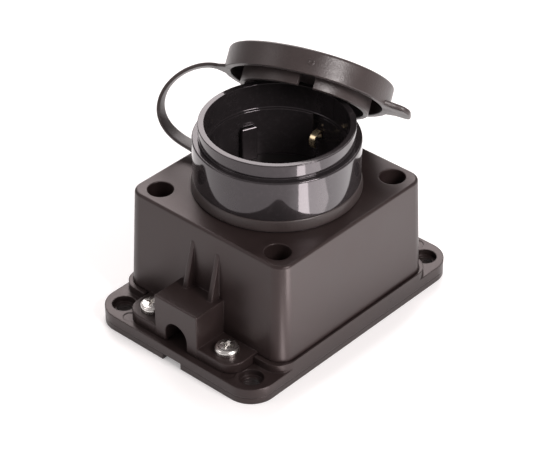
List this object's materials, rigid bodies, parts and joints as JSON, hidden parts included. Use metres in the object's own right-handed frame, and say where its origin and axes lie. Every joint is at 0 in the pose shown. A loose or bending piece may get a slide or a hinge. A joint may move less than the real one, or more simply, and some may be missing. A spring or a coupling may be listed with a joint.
{
  "type": "surface-mounted power socket box",
  "caption": "Surface-mounted power socket box with a round collar, a cable entry block, a screw-down base and a tethered press-on cap.",
  "frame": {"origin": "centre of the rear face, on the wall plane", "axes": "+Z out of the wall along the socket's axis, -Y towards the cable entry, +X to the right of the entry face"},
  "size_m": [0.0833, 0.0996, 0.0887],
  "materials": {
    "base_plastic": "fine-grained black moulding",
    "housing_plastic": "fine-grained black moulding",
    "collar_gloss": "polished black",
    "insert_plastic": "smooth black thermoset",
    "cap_rubber": "satin black elastomer",
    "seal_rubber": "matte black",
    "brass": "bright stamped",
    "plated_steel": "bright nickel plate"
  },
  "bodies": {
    "box": {"rear_plate": "base_plastic", "base_plate": "base_plastic", "base_inserts": "brass", "base_seal": "seal_rubber", "housing": "housing_plastic", "housing_screws": "plated_steel", "entry_screws": "plated_steel", "entry_nuts": "plated_steel", "cable_clamp": "base_plastic", "clamp_screws": "plated_steel", "socket_collar": "collar_gloss", "collar_gasket": "seal_rubber", "collar_screws": "plated_steel", "contact_cover": "insert_plastic", "contact_carrier": "insert_plastic", "carrier_screws": "plated_steel", "line_contact": "brass", "neutral_contact": "brass", "earth_bracket": "brass", "line_terminal": "brass", "neutral_terminal": "brass", "earth_terminal": "brass", "terminal_screws": "plated_steel"},
    "tether": {"tether_ring": "cap_rubber"},
    "strap": {"tether_strap": "cap_rubber"},
    "cap": {"cap": "cap_rubber", "cap_seal": "seal_rubber"}
  },
  "joints": [
    {"name": "tether_turn", "type": "hinge", "parent": "box", "child": "tether", "pos_m": [0, 0, 0.0463], "axis": [0, 0, 1], "continuous": true},
    {"name": "strap_bend", "type": "hinge", "parent": "tether", "child": "strap", "pos_m": [-0.0455, -0.00617, 0.05325], "axis": [0.2375, -0.8836, 0.4036], "range_deg": [0, 90], "stiffness_Nm_per_rad": 0.004, "deforming": ["tether_strap"]},
    {"name": "cap_swing", "type": "hinge", "parent": "strap", "child": "cap", "pos_m": [-0.03534, 0.00778, 0.07053], "axis": [0.4908, -0.5372, 0.6859], "range_deg": [0, 75], "stiffness_Nm_per_rad": 0.003}
  ]
}
